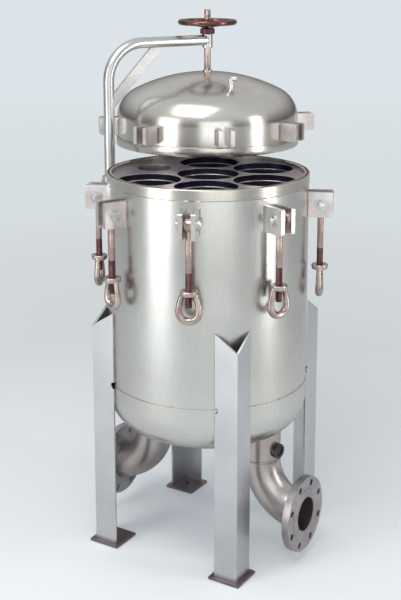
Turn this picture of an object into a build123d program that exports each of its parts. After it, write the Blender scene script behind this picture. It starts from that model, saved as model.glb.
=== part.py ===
"""Bag filter housing for six bags: vessel on four angle legs, davit-hung lid, eight swing bolts.

The origin is on the floor, on the vessel's axis. +Z is up, +X points out of the outlet flange,
and the inlet flange and the lid davit are on the -X side. All sizes are in millimetres.
The lid stands swung aside on its davit and raised a little above the rim.
"""

import os
from math import asin, cos, pi, radians, sin, sqrt

from build123d import *

os.makedirs("parts", exist_ok=True)

# ---- driving dimensions -------------------------------------------------------------------
run_fit = 0.05  # radial running clearance of pins and shafts
edge_break = 1.0
plate_root = 5.0  # how far a lug plate reaches in before it is trimmed to the shell

# vessel
shell_r = 304.8  # 24 in outside diameter
shell_wall = 6.35
girth_z = 525.0  # weld between the shell and the bottom head
tangent_z = 473.0  # where the head's straight flange ends
crown_share = 1.8  # a 2:1 head's crown radius over its outside radius
knuckle_share = 0.34  # and its knuckle radius
rim_z = 1134.0
rim_top = 1166.0
rim_r = 306.0
rim_inner_r = 290.0
seal_r = 299.5
seal_section_r = 3.0
seal_proud = 0.6
groove_gap = 0.5  # on each side of the seal
weld_proud = 1.5
weld_half = 4.0

# tube sheet and baskets
sheet_top = 1156.0
sheet_thick = 28.0
seat_z = 1133.0  # ledge that a basket's rim rests on
well_circle_r = 195.0
well_r = 92.5
seat_r = 86.0
well_angles = [0, 60, 120, 240, 300]  # the sixth place on the circle is the inlet standpipe
basket_r = 84.0
basket_wall = 2.0
basket_rim_r = 91.8
basket_rim_thick = 4.0
basket_bottom = 505.0

# process pipes, 4 in nominal
pipe_r = 57.15
bore_r = 51.15
pipe_x = 195.0
elbow_r = 152.4
outlet_z = 140.0
inlet_z = 156.0
flange_face = 350.0
flange_thick = 24.0
flange_r = 114.3
flange_bore_r = 59.7
flange_weld_r = 52.15  # bore of the bead between a flange and its pipe
raised_r = 78.6
raised_height = 1.6
flange_pcd_r = 95.25
flange_hole_r = 9.5
flange_holes = 8
flange_hole_start = 22.5
stub_end = 465.0  # trimmed to the head's inside
standpipe_top = 1154.0

# drain coupling on the outlet stub
coupling_r = 22.5
coupling_bore_r = 16.0
coupling_z = 328.0
coupling_angle = -12.0
coupling_face = 71.0
plug_depth = 15.0
plug_recess = 4.0

# legs: 3 in angle, corner outwards, one every 90 degrees
leg_count = 4
leg_side = 76.2
leg_thick = 6.35
leg_corner = 254.0  # the corner's x and y
leg_top = 754.0
leg_corner_top = 706.0
plate_side = 102.0
plate_thick = 8.0
plate_margin = 13.0
anchor_hole_r = 8.0
anchor_inset = 40.0
notch_r = 11.0

# clevis ears, pins and swing bolts
clevis_count = 8
clevis_start = 22.5
pin_circle_r = 341.6
pin_z = 1076.0
pin_r = 9.5
ear_out_r = 378.0
ear_low = 1038.0
ear_high = 1114.0
ear_thick = 12.7
ear_gap = 24.0
ear_corner = 5.0
pin_reach = 36.0
pin_head_r = 15.0
pin_head_thick = 8.0
washer_r = 19.0
washer_thick = 3.0
cotter_r = 1.6
cotter_length = 30.0
cotter_inset = 3.0  # from the pin's end
bolt_r = 10.0
bolt_length = 236.0
bolt_eye_r = 18.0
bolt_eye_thick = 21.0
nut_face = 186.0  # from the pin to the nut's bearing face
nut_collar_r = 26.0
nut_neck_r = 19.0
nut_collar = 12.0
nut_neck = 36.0
nut_neck_end_r = 15.0
nut_edge = 2.0
ring_centre = 62.0
ring_r = 28.0
ring_section_r = 11.5

# davit
davit_x = -366.0
davit_swing = 63.5  # from straight over the vessel to where the lid stands
davit_tube_r = 17.0
davit_wall = 4.5
davit_bend = 118.0
davit_reach = 366.0
arm_z = 1530.0
post_bottom = 962.0
bracket_z = [978.0, 1084.0]
bracket_thick = 12.0
bracket_half = 42.0
bracket_nose_r = 30.0
bracket_root = 20.0
bracket_straight = 15.0
post_collar_r = 25.0
post_collar_height = 16.0
brace_along = 190.0
brace_down = 196.0
brace_width = 34.0
brace_thick = 9.0
arm_trim = 50.0  # size of the cut past the sleeve
sleeve_low = 1505.0
sleeve_high = 1550.0
thrust_r = 24.0
thrust_top = 1567.0

# lid, on its own axis
lid_z = 1190.0
lid_r = 303.0
lid_bore_r = 280.0
lid_ring_height = 28.0
dome_r = 300.0
dome_wall = 6.0
dome_straight = 87.0
lug_out_r = 360.0
lug_low = 36.0
lug_high = 92.0
lug_thick = 12.7
lug_gap = 24.0
screw_r = 11.0
screw_low = 1407.0
screw_top = 1629.0
boss_r = 16.0
boss_low = 1377.0
boss_top = 1431.0
vent_angle = -36.1
vent_r = 196.4
vent_pipe_r = 6.5
vent_elbow_r = 10.0
vent_rise = 22.0
vent_low = 196.0
vent_wall = 2.0
vent_elbow_rise = 14.0
vent_outlet_height = 12.0
vent_outlet_length = 16.0
vent_way = 31.8  # the way the vent's outlet points

# handwheel
wheel_z = 1588.0
wheel_rim_r = 88.5
wheel_section_r = 9.0
wheel_spokes = 4
spoke_start = 20.0
spoke_r = 6.0
spoke_root_r = 15.0
spoke_tip_r = 86.5
spoke_rise = 6.0
hub_r = 19.0
hub_top = 1598.0
wheel_gap = 0.3


# ---- helpers ------------------------------------------------------------------------------
def polar(radius, angle, z=0.0):
    """A point at a radius and an angle about the vessel's axis."""
    return Vector(radius * cos(radians(angle)), radius * sin(radians(angle)), z)


def turned(part, angle):
    """A copy of a part turned about the vessel's axis."""
    return part.rotate(Axis.Z, angle)


def save(shape, name):
    """Label a finished piece and write it as its own STEP file."""
    shape.label = name
    export_step(shape, f"parts/{name}.step")


def group(shapes):
    """Separate solids that share one node."""
    return Compound(children=list(shapes))


def dished_solid(tangent_plane, radius, inset, straight):
    """A filled 2:1 dished head with a straight flange. The plane's origin is on the axis at the
    tangent line, and its y direction points to the crown."""
    knuckle = knuckle_share * radius - inset
    crown = crown_share * radius - inset
    hub = radius - inset - knuckle
    drop = sqrt((crown - knuckle) ** 2 - hub**2)
    lean = asin(hub / (crown - knuckle))
    bend = (pi / 2 - lean) / 2
    side = (radius - inset, 0)
    knee = (crown * sin(lean), crown * cos(lean) - drop)
    knuckle_middle = (hub + knuckle * cos(bend), knuckle * sin(bend))
    crown_middle = (crown * sin(lean / 2), crown * cos(lean / 2) - drop)
    apex = (0, crown - drop)
    with BuildPart() as dish:
        with BuildSketch(tangent_plane):
            with BuildLine():
                Polyline(apex, (0, -straight), (radius - inset, -straight), side)
                ThreePointArc(side, knuckle_middle, knee)
                ThreePointArc(knee, crown_middle, apex)
            make_face()
        revolve(axis=Axis(tangent_plane.origin, (0, 0, 1)))
    return dish.part


davit_axis = Vector(davit_x, 0, 0)
arm_direction = Vector(cos(radians(davit_swing)), sin(radians(davit_swing)), 0)
lid_axis = davit_axis + arm_direction * davit_reach
davit_plane = Plane(origin=davit_axis, x_dir=arm_direction,
                    z_dir=arm_direction.cross(Vector(0, 0, 1)))
clevis_angles = [clevis_start + 360.0 / clevis_count * i for i in range(clevis_count)]
drain_plane = Plane(origin=(pipe_x, 0, coupling_z),
                    z_dir=polar(1.0, coupling_angle), x_dir=(0, 0, 1))


# ---- vessel -------------------------------------------------------------------------------
with BuildPart() as shell:
    with BuildSketch(Plane.XY.offset(girth_z)):
        Circle(shell_r)
        Circle(shell_r - shell_wall, mode=Mode.SUBTRACT)
    extrude(amount=rim_z - girth_z)
save(shell.part, "shell")

with BuildPart() as rim_ring:
    with BuildSketch(Plane.XY.offset(rim_z)):
        Circle(rim_r)
        Circle(rim_inner_r, mode=Mode.SUBTRACT)
    extrude(amount=rim_top - rim_z)
    with BuildSketch(Plane.XY.offset(rim_top)):
        Circle(seal_r + seal_section_r + groove_gap)
        Circle(seal_r - seal_section_r - groove_gap, mode=Mode.SUBTRACT)
    extrude(amount=-2 * seal_section_r + seal_proud, mode=Mode.SUBTRACT)
save(rim_ring.part, "rim_ring")

with BuildPart() as rim_seal:
    with BuildSketch(Plane.XZ):
        with Locations((seal_r, rim_top + seal_proud - seal_section_r)):
            Circle(seal_section_r)
    revolve(axis=Axis.Z)
save(rim_seal.part, "rim_seal")

head_plane = Plane(origin=(0, 0, tangent_z), x_dir=(1, 0, 0), z_dir=(0, 1, 0))
head_inside = dished_solid(head_plane, shell_r, shell_wall, girth_z - tangent_z)

with BuildPart() as bottom_head:
    add(dished_solid(head_plane, shell_r, 0, girth_z - tangent_z))
    add(head_inside, mode=Mode.SUBTRACT)
    with BuildSketch(Plane.XY.offset(tangent_z - shell_r)):
        with Locations((pipe_x, 0), (-pipe_x, 0)):
            Circle(pipe_r)
    extrude(amount=shell_r, mode=Mode.SUBTRACT)
save(bottom_head.part, "bottom_head")

with BuildPart() as girth_weld:
    with BuildSketch(Plane.XZ):
        with BuildLine():
            ThreePointArc((shell_r, girth_z - weld_half), (shell_r + weld_proud, girth_z),
                          (shell_r, girth_z + weld_half))
            Line((shell_r, girth_z + weld_half), (shell_r, girth_z - weld_half))
        make_face()
    revolve(axis=Axis.Z)
save(girth_weld.part, "girth_weld")

# ---- tube sheet and baskets ---------------------------------------------------------------
well_places = [(0.0, 0.0)]
for angle in well_angles:
    place = polar(well_circle_r, angle)
    well_places.append((place.X, place.Y))

with BuildPart() as tube_sheet:
    with BuildSketch(Plane.XY.offset(sheet_top - sheet_thick)):
        Circle(rim_inner_r)
        with Locations(*well_places):
            Circle(seat_r, mode=Mode.SUBTRACT)
        with Locations((-well_circle_r, 0)):
            Circle(pipe_r, mode=Mode.SUBTRACT)
    extrude(amount=sheet_thick)
    with BuildSketch(Plane.XY.offset(seat_z)):
        with Locations(*well_places):
            Circle(well_r)
    extrude(amount=sheet_top - seat_z, mode=Mode.SUBTRACT)
save(tube_sheet.part, "tube_sheet")

basket_top = seat_z + basket_rim_thick
with BuildPart() as basket:
    with BuildSketch(Plane.XY.offset(basket_bottom)):
        Circle(basket_r)
    extrude(amount=basket_top - basket_bottom)
    with BuildSketch(Plane.XY.offset(seat_z)):
        Circle(basket_rim_r)
    extrude(amount=basket_rim_thick)
    with BuildSketch(Plane.XY.offset(basket_bottom + basket_wall)):
        Circle(basket_r - basket_wall)
    extrude(amount=basket_top - basket_bottom, mode=Mode.SUBTRACT)
for number, place in enumerate(well_places, start=1):
    save(basket.part.moved(Location((place[0], place[1], 0))), f"basket_{number}")


# ---- process pipes ------------------------------------------------------------------------
def make_elbow(height):
    """A long-radius elbow from a vertical pipe to a horizontal one along +X."""
    top = height + elbow_r
    with BuildPart() as elbow:
        with BuildSketch(Plane.XY.offset(top)):
            with Locations((pipe_x, 0)):
                Circle(pipe_r)
                Circle(bore_r, mode=Mode.SUBTRACT)
        revolve(axis=Axis((pipe_x + elbow_r, 0, top), (0, -1, 0)), revolution_arc=90)
    return elbow.part


def make_flange(height):
    """A slip-on flange with a raised face and a weld bead inside, facing +X."""
    back = Plane(origin=(flange_face - flange_thick, 0, height), x_dir=(0, 1, 0), z_dir=(1, 0, 0))
    with BuildPart() as flange:
        with BuildSketch(back):
            Circle(flange_r)
        extrude(amount=flange_thick - raised_height)
        with BuildSketch(back):
            Circle(raised_r)
        extrude(amount=flange_thick)
        with BuildSketch(back):
            Circle(flange_bore_r)
        extrude(amount=flange_thick, mode=Mode.SUBTRACT)
        with BuildSketch(back):
            with PolarLocations(flange_pcd_r, flange_holes, start_angle=flange_hole_start):
                Circle(flange_hole_r)
        extrude(amount=flange_thick, mode=Mode.SUBTRACT)
        with BuildSketch(back.offset(flange_thick - raised_height)):
            Circle(flange_bore_r)
            Circle(flange_weld_r, mode=Mode.SUBTRACT)
        extrude(amount=raised_height / 2)
    return flange.part


save(make_elbow(outlet_z), "outlet_elbow")
save(make_flange(outlet_z), "outlet_flange")
save(turned(make_elbow(inlet_z), 180), "inlet_elbow")
save(turned(make_flange(inlet_z), 180), "inlet_flange")

with BuildPart() as outlet_stub:
    with BuildSketch(Plane.XY.offset(outlet_z + elbow_r)):
        with Locations((pipe_x, 0)):
            Circle(pipe_r)
    extrude(amount=stub_end - outlet_z - elbow_r)
    add(head_inside, mode=Mode.SUBTRACT)
    with BuildSketch(Plane.XY.offset(outlet_z + elbow_r)):
        with Locations((pipe_x, 0)):
            Circle(bore_r)
    extrude(amount=girth_z, mode=Mode.SUBTRACT)
    with BuildSketch(drain_plane):
        Circle(coupling_bore_r)
    extrude(amount=coupling_face, mode=Mode.SUBTRACT)
save(outlet_stub.part, "outlet_stub")

with BuildPart() as drain_coupling:
    with BuildSketch(drain_plane):
        Circle(coupling_r)
        Circle(coupling_bore_r, mode=Mode.SUBTRACT)
    extrude(amount=coupling_face)
    with BuildSketch(Plane.XY.offset(coupling_z - coupling_face)):
        with Locations((pipe_x, 0)):
            Circle(pipe_r)
    extrude(amount=2 * coupling_face, mode=Mode.SUBTRACT)
save(drain_coupling.part, "drain_coupling")

with BuildPart() as drain_plug:
    with BuildSketch(drain_plane.offset(coupling_face - plug_depth)):
        Circle(coupling_bore_r)
    extrude(amount=plug_depth - plug_recess)
save(drain_plug.part, "drain_plug")

with BuildPart() as standpipe:
    with BuildSketch(Plane.XY.offset(inlet_z + elbow_r)):
        with Locations((-pipe_x, 0)):
            Circle(pipe_r)
            Circle(bore_r, mode=Mode.SUBTRACT)
    extrude(amount=standpipe_top - inlet_z - elbow_r)
save(standpipe.part, "inlet_standpipe")


# ---- legs ---------------------------------------------------------------------------------
leg_rise = (leg_top - leg_corner_top) / leg_side
with BuildPart() as leg:
    with BuildSketch(Plane(origin=(0, leg_corner, 0), x_dir=(1, 0, 0), z_dir=(0, -1, 0))):
        with BuildLine():
            Polyline(
                (leg_corner - leg_side, plate_thick),
                (leg_corner, plate_thick),
                (leg_corner, leg_corner_top),
                (leg_corner - leg_side, leg_top),
                close=True,
            )
        make_face()
        with Locations((leg_corner - leg_side, girth_z)):
            Circle(notch_r, mode=Mode.SUBTRACT)
    extrude(amount=leg_thick)
    mirror(about=Plane(origin=(0, 0, 0), z_dir=(1, -1, 0)))
for number in range(leg_count):
    save(turned(leg.part, 360.0 / leg_count * number), f"leg_{number + 1}")

plate_centre = leg_corner + plate_margin - plate_side / 2
anchor_place = leg_corner - anchor_inset
with BuildPart() as base_plate:
    with BuildSketch(Plane.XY):
        with Locations((plate_centre, plate_centre)):
            Rectangle(plate_side, plate_side)
        with Locations((anchor_place, anchor_place)):
            Circle(anchor_hole_r, mode=Mode.SUBTRACT)
    extrude(amount=plate_thick)
save(group(turned(base_plate.part, 360.0 / leg_count * n) for n in range(leg_count)),
     "base_plates")


# ---- clevis ears and pins -----------------------------------------------------------------
ear_offset = (ear_gap + ear_thick) / 2
pin_plane = Plane(origin=(pin_circle_r, 0, pin_z), x_dir=(1, 0, 0), z_dir=(0, 1, 0))
ear_side = ear_gap / 2 + ear_thick


def make_ear(side):
    """One ear of the clevis at angle 0: side is 1 or -1."""
    with BuildPart() as ear:
        middle = (ear_low + ear_high) / 2
        with BuildSketch(Plane(origin=(0, side * ear_offset, middle), x_dir=(1, 0, 0),
                               z_dir=(0, 1, 0))):
            with Locations(((shell_r - plate_root + ear_out_r) / 2, 0)):
                RectangleRounded(ear_out_r - shell_r + plate_root, ear_high - ear_low, ear_corner)
        extrude(amount=ear_thick / 2, both=True)
        with BuildSketch(pin_plane):
            Circle(pin_r + run_fit)
        extrude(amount=2 * ear_side, both=True, mode=Mode.SUBTRACT)
        with BuildSketch(Plane.XY.offset(ear_low - ear_corner)):
            Circle(shell_r)
        extrude(amount=ear_high - ear_low + 2 * ear_corner, mode=Mode.SUBTRACT)
    return ear.part


ears = [make_ear(1), make_ear(-1)]
save(group(turned(ear, angle) for angle in clevis_angles for ear in ears), "clevis_ears")

with BuildPart() as pin:
    with BuildSketch(pin_plane):
        Circle(pin_r)
    extrude(amount=pin_reach, both=True)
    with BuildSketch(pin_plane.offset(ear_side)):
        Circle(pin_head_r)
    extrude(amount=pin_head_thick)
    with BuildSketch(Plane(origin=(pin_circle_r, cotter_inset - pin_reach, pin_z - pin_head_r))):
        Circle(cotter_r + run_fit)
    extrude(amount=2 * pin_head_r, mode=Mode.SUBTRACT)
    chamfer(pin.edges().filter_by(GeomType.CIRCLE).group_by(Axis.Y)[0], edge_break)
    chamfer(pin.edges().filter_by(GeomType.CIRCLE).group_by(Axis.Y)[-1], edge_break)
save(group(turned(pin.part, angle) for angle in clevis_angles), "clevis_pins")

with BuildPart() as washer:
    with BuildSketch(pin_plane.offset(-ear_side)):
        Circle(washer_r)
        Circle(pin_r + run_fit, mode=Mode.SUBTRACT)
    extrude(amount=-washer_thick)
save(group(turned(washer.part, angle) for angle in clevis_angles), "pin_washers")

with BuildPart() as cotter:
    with BuildSketch(Plane(origin=(pin_circle_r, cotter_inset - pin_reach,
                                   pin_z - cotter_length / 2))):
        Circle(cotter_r)
    extrude(amount=cotter_length)
save(group(turned(cotter.part, angle) for angle in clevis_angles), "cotter_pins")

# ---- swing bolts and eye nuts, hanging ----------------------------------------------------
with BuildPart() as bolt:
    with BuildSketch(pin_plane):
        Circle(bolt_eye_r)
    extrude(amount=bolt_eye_thick / 2, both=True)
    with BuildSketch(Plane(origin=(pin_circle_r, 0, pin_z - bolt_length))):
        Circle(bolt_r)
    extrude(amount=bolt_length - pin_r)
    with BuildSketch(pin_plane):
        Circle(pin_r + run_fit)
    extrude(amount=bolt_eye_thick, both=True, mode=Mode.SUBTRACT)

nut_top = pin_z - nut_face
with BuildPart() as nut:
    with BuildSketch(Plane(origin=(pin_circle_r, 0, nut_top), x_dir=(1, 0, 0),
                           z_dir=(0, -1, 0))):
        with BuildLine():
            Polyline((0, 0), (nut_collar_r - nut_edge, 0), (nut_collar_r, -nut_edge),
                     (nut_neck_r, -nut_neck + nut_collar), (nut_neck_end_r, -nut_neck),
                     (0, -nut_neck), close=True)
        make_face()
    revolve(axis=Axis((pin_circle_r, 0, 0), (0, 0, 1)))
    with BuildSketch(Plane(origin=(pin_circle_r, 0, nut_top - ring_centre), x_dir=(1, 0, 0),
                           z_dir=(0, -1, 0))):
        with Locations((0, -ring_r)):
            Circle(ring_section_r)
    revolve(axis=Axis((pin_circle_r, 0, nut_top - ring_centre), (1, 0, 0)))
    with BuildSketch(Plane(origin=(pin_circle_r, 0, nut_top))):
        Circle(bolt_r + run_fit)
    extrude(amount=-ring_centre, mode=Mode.SUBTRACT)

for number, angle in enumerate(clevis_angles, start=1):
    save(turned(bolt.part, angle), f"swing_bolt_{number}")
    save(turned(nut.part, angle), f"eye_nut_{number}")


# ---- davit bracket, post, arm, brace and sleeve -------------------------------------------
def make_bracket(low):
    """A plate welded to the shell with a bearing hole for the davit's post."""
    root, straight = bracket_root - shell_r, -bracket_straight - shell_r
    with BuildPart() as bracket:
        with BuildSketch(Plane.XY.offset(low)):
            with BuildLine():
                Line((root, -bracket_half), (straight, -bracket_half))
                Line((straight, -bracket_half), (davit_x, -bracket_nose_r))
                ThreePointArc((davit_x, -bracket_nose_r), (davit_x - bracket_nose_r, 0),
                              (davit_x, bracket_nose_r))
                Line((davit_x, bracket_nose_r), (straight, bracket_half))
                Line((straight, bracket_half), (root, bracket_half))
                Line((root, bracket_half), (root, -bracket_half))
            make_face()
            with Locations((davit_x, 0)):
                Circle(davit_tube_r + run_fit, mode=Mode.SUBTRACT)
            Circle(shell_r, mode=Mode.SUBTRACT)
        extrude(amount=bracket_thick)
    return bracket.part


save(make_bracket(bracket_z[0]), "bracket_lower")
save(make_bracket(bracket_z[1]), "bracket_upper")


def davit_rod(radius):
    """The davit's round profile, swept up the post, round the bend and out along the arm."""
    bend_middle = davit_bend * (1 - sqrt(0.5))
    with BuildPart() as rod:
        with BuildLine(davit_plane):
            Line((0, post_bottom), (0, arm_z - davit_bend))
            ThreePointArc((0, arm_z - davit_bend), (bend_middle, arm_z - bend_middle),
                          (davit_bend, arm_z))
            Line((davit_bend, arm_z), (davit_reach, arm_z))
        with BuildSketch(Plane(origin=(davit_x, 0, post_bottom))):
            Circle(radius)
        sweep()
    return rod.part


davit_outer = davit_rod(davit_tube_r)
davit_inner = davit_rod(davit_tube_r - davit_wall)

with BuildPart() as davit_tube:
    add(davit_outer)
    add(davit_inner, mode=Mode.SUBTRACT)
    with BuildSketch(Plane(origin=lid_axis + Vector(0, 0, sleeve_low))):
        Circle(davit_tube_r)
    extrude(amount=sleeve_high - sleeve_low, mode=Mode.SUBTRACT)
    with BuildSketch(davit_plane):
        with Locations((davit_reach + arm_trim / 2, arm_z)):
            Rectangle(arm_trim, 2 * arm_trim)
    extrude(amount=arm_trim, both=True, mode=Mode.SUBTRACT)
save(davit_tube.part, "davit_tube")

with BuildPart() as davit_sleeve:
    with BuildSketch(Plane(origin=lid_axis + Vector(0, 0, sleeve_low))):
        Circle(davit_tube_r)
        Circle(screw_r + run_fit, mode=Mode.SUBTRACT)
    extrude(amount=sleeve_high - sleeve_low)
save(davit_sleeve.part, "davit_sleeve")

brace_slant = brace_width / 2 * sqrt(2)
with BuildPart() as davit_brace:
    with BuildSketch(davit_plane.offset(-brace_thick / 2)):
        with BuildLine():
            Polyline(
                (0, arm_z - brace_down - brace_slant),
                (brace_along + brace_slant, arm_z),
                (brace_along - brace_slant, arm_z),
                (0, arm_z - brace_down + brace_slant),
                close=True,
            )
        make_face()
    extrude(amount=brace_thick)
    add(davit_outer, mode=Mode.SUBTRACT)
save(davit_brace.part, "davit_brace")

collar_low = bracket_z[1] + bracket_thick + wheel_gap
with BuildPart() as post_collar:
    with BuildSketch(Plane(origin=(davit_x, 0, collar_low))):
        Circle(post_collar_r)
        Circle(davit_tube_r, mode=Mode.SUBTRACT)
    extrude(amount=post_collar_height)
save(post_collar.part, "post_collar")

with BuildPart() as thrust_collar:
    with BuildSketch(Plane(origin=lid_axis + Vector(0, 0, sleeve_high))):
        Circle(thrust_r)
        Circle(screw_r + run_fit, mode=Mode.SUBTRACT)
    extrude(amount=thrust_top - sleeve_high)
save(thrust_collar.part, "thrust_collar")

# ---- handwheel ----------------------------------------------------------------------------
hub_low = thrust_top + wheel_gap
with BuildPart() as handwheel:
    with BuildSketch(Plane(origin=lid_axis + Vector(0, 0, hub_low))):
        Circle(hub_r)
    extrude(amount=hub_top - hub_low)
    with BuildSketch(Plane(origin=lid_axis + Vector(0, 0, wheel_z), x_dir=(1, 0, 0),
                           z_dir=(0, -1, 0))):
        with Locations((wheel_rim_r, 0)):
            Circle(wheel_section_r)
    revolve(axis=Axis(lid_axis, (0, 0, 1)))
    for spoke in range(wheel_spokes):
        direction = polar(1.0, spoke_start + 360.0 / wheel_spokes * spoke)
        root = lid_axis + Vector(0, 0, wheel_z - spoke_rise) + direction * spoke_root_r
        tip = lid_axis + Vector(0, 0, wheel_z) + direction * spoke_tip_r
        with BuildSketch(Plane(origin=root, z_dir=tip - root)):
            Circle(spoke_r)
        extrude(amount=(tip - root).length)
    with BuildSketch(Plane(origin=lid_axis + Vector(0, 0, hub_low))):
        Circle(screw_r + run_fit)
    extrude(amount=hub_top - hub_low, mode=Mode.SUBTRACT)
save(handwheel.part, "handwheel")

# ---- lid ----------------------------------------------------------------------------------
lid_plane = Plane(origin=lid_axis + Vector(0, 0, lid_z))

with BuildPart() as lid_ring:
    with BuildSketch(lid_plane):
        Circle(lid_r)
        Circle(lid_bore_r, mode=Mode.SUBTRACT)
    extrude(amount=lid_ring_height)
    chamfer(lid_ring.edges().filter_by(GeomType.CIRCLE).sort_by(SortBy.RADIUS)[-2:],
            edge_break)
save(lid_ring.part, "lid_ring")


dome_plane = Plane(origin=lid_axis + Vector(0, 0, lid_z + dome_straight), x_dir=(1, 0, 0),
                   z_dir=(0, -1, 0))
skirt = dome_straight - lid_ring_height
dome_outer = dished_solid(dome_plane, dome_r, 0, skirt)
vent_place = lid_axis + polar(vent_r, vent_angle)
with BuildPart() as lid_dome:
    add(dome_outer)
    add(dished_solid(dome_plane, dome_r, dome_wall, skirt), mode=Mode.SUBTRACT)
    with BuildSketch(Plane(origin=vent_place + Vector(0, 0, lid_z))):
        Circle(vent_pipe_r)
    extrude(amount=dome_r, mode=Mode.SUBTRACT)
    with BuildSketch(Plane(origin=lid_axis + Vector(0, 0, lid_z + dome_straight))):
        Circle(screw_r)
    extrude(amount=dome_r, mode=Mode.SUBTRACT)
save(lid_dome.part, "lid_dome")

lug_side = (lug_gap + lug_thick) / 2


def make_lug(side):
    """One plate of a pair at angle 0 on the lid."""
    with BuildPart() as lug:
        length = lug_out_r - dome_r + plate_root
        with BuildSketch(Plane(origin=lid_plane.origin + Vector(0, side * lug_side, 0),
                               x_dir=(1, 0, 0), z_dir=(0, 1, 0))):
            with Locations((lug_out_r - length / 2, -(lug_low + lug_high) / 2)):
                RectangleRounded(length, lug_high - lug_low, ear_corner)
        extrude(amount=lug_thick / 2, both=True)
        with BuildSketch(lid_plane):
            Circle(dome_r)
        extrude(amount=lug_high + ear_corner, mode=Mode.SUBTRACT)
    return lug.part


lugs = [make_lug(1), make_lug(-1)]
lid_turn = Axis(lid_axis, (0, 0, 1))
save(group(lug.rotate(lid_turn, angle + davit_swing) for angle in clevis_angles for lug in lugs),
     "lid_lugs")

with BuildPart() as lift_screw:
    with BuildSketch(Plane(origin=lid_axis + Vector(0, 0, screw_low))):
        Circle(screw_r)
    extrude(amount=screw_top - screw_low)
save(lift_screw.part, "lift_screw")

with BuildPart() as lid_boss:
    with BuildSketch(Plane(origin=lid_axis + Vector(0, 0, boss_low))):
        Circle(boss_r)
        Circle(screw_r, mode=Mode.SUBTRACT)
    extrude(amount=boss_top - boss_low)
    add(dome_outer, mode=Mode.SUBTRACT)
save(lid_boss.part, "lid_boss")

vent_base = vent_place + Vector(0, 0, lid_z + vent_low)
with BuildPart() as vent_nipple:
    with BuildSketch(Plane(origin=vent_base)):
        Circle(vent_pipe_r)
        Circle(vent_pipe_r - vent_wall, mode=Mode.SUBTRACT)
    extrude(amount=vent_rise)
save(vent_nipple.part, "vent_nipple")

vent_joint = vent_base + Vector(0, 0, vent_rise)
outlet_plane = Plane(origin=vent_joint + Vector(0, 0, vent_outlet_height),
                     z_dir=polar(1.0, vent_way))
with BuildPart() as vent_elbow:
    with BuildSketch(Plane(origin=vent_joint)):
        Circle(vent_elbow_r)
    extrude(amount=vent_elbow_rise)
    with BuildSketch(outlet_plane):
        Circle(vent_elbow_r)
    extrude(amount=vent_outlet_length)
    with BuildSketch(outlet_plane):
        Circle(vent_pipe_r)
    extrude(amount=vent_outlet_length, mode=Mode.SUBTRACT)
save(vent_elbow.part, "vent_elbow")
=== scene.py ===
"""Looks of the bag filter housing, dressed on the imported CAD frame. Metres throughout."""

from math import asin, ceil, cos, pi, radians, sin, sqrt

import bmesh
import bpy
from mathutils import Matrix, Vector, noise


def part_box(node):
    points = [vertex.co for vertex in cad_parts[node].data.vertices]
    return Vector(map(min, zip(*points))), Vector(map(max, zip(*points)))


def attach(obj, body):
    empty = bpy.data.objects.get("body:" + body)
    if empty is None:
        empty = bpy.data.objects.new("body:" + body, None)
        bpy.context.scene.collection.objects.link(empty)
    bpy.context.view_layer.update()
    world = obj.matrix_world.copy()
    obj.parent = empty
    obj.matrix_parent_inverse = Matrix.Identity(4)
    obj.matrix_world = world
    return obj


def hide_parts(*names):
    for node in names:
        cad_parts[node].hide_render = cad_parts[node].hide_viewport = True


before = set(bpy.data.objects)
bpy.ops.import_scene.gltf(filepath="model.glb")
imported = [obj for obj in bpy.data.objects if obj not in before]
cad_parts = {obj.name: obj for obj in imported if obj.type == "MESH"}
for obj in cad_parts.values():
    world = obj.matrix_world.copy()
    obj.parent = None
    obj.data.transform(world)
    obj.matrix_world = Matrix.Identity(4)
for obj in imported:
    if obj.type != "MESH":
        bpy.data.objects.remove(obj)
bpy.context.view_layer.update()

# ---- places read from the frame ---------------------------------------------------------------
SHELL_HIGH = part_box("shell")[1]
RIM_LOW, RIM_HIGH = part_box("rim_ring")
HEAD_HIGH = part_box("bottom_head")[1]
DOME_LOW, DOME_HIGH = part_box("lid_dome")
RING_LOW, RING_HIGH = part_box("lid_ring")
SCREW_LOW, SCREW_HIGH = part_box("lift_screw")
WHEEL_LOW, WHEEL_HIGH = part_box("handwheel")
STUB_LOW, STUB_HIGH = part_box("outlet_stub")
OUTLET_LOW, OUTLET_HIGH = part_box("outlet_flange")
INLET_LOW, INLET_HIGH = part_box("inlet_flange")
SLEEVE_LOW, SLEEVE_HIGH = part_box("davit_sleeve")
LEG_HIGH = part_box("leg_1")[1]
EAR_LOW, EAR_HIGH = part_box("clevis_ears")
LUG_LOW, LUG_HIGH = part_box("lid_lugs")

SHELL_R = SHELL_HIGH.x
GIRTH = HEAD_HIGH.z
LID_AXIS = Vector((SCREW_LOW.x + SCREW_HIGH.x, SCREW_LOW.y + SCREW_HIGH.y, 0)) / 2
DOME_R = (DOME_HIGH.x - DOME_LOW.x) / 2
PIPE_X = (STUB_LOW.x + STUB_HIGH.x) / 2
PIPE_R = (STUB_HIGH.x - STUB_LOW.x) / 2
OUTLET_Z = (OUTLET_LOW.z + OUTLET_HIGH.z) / 2
INLET_Z = (INLET_LOW.z + INLET_HIGH.z) / 2
PIN_Z = (EAR_LOW.z + EAR_HIGH.z) / 2

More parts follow.
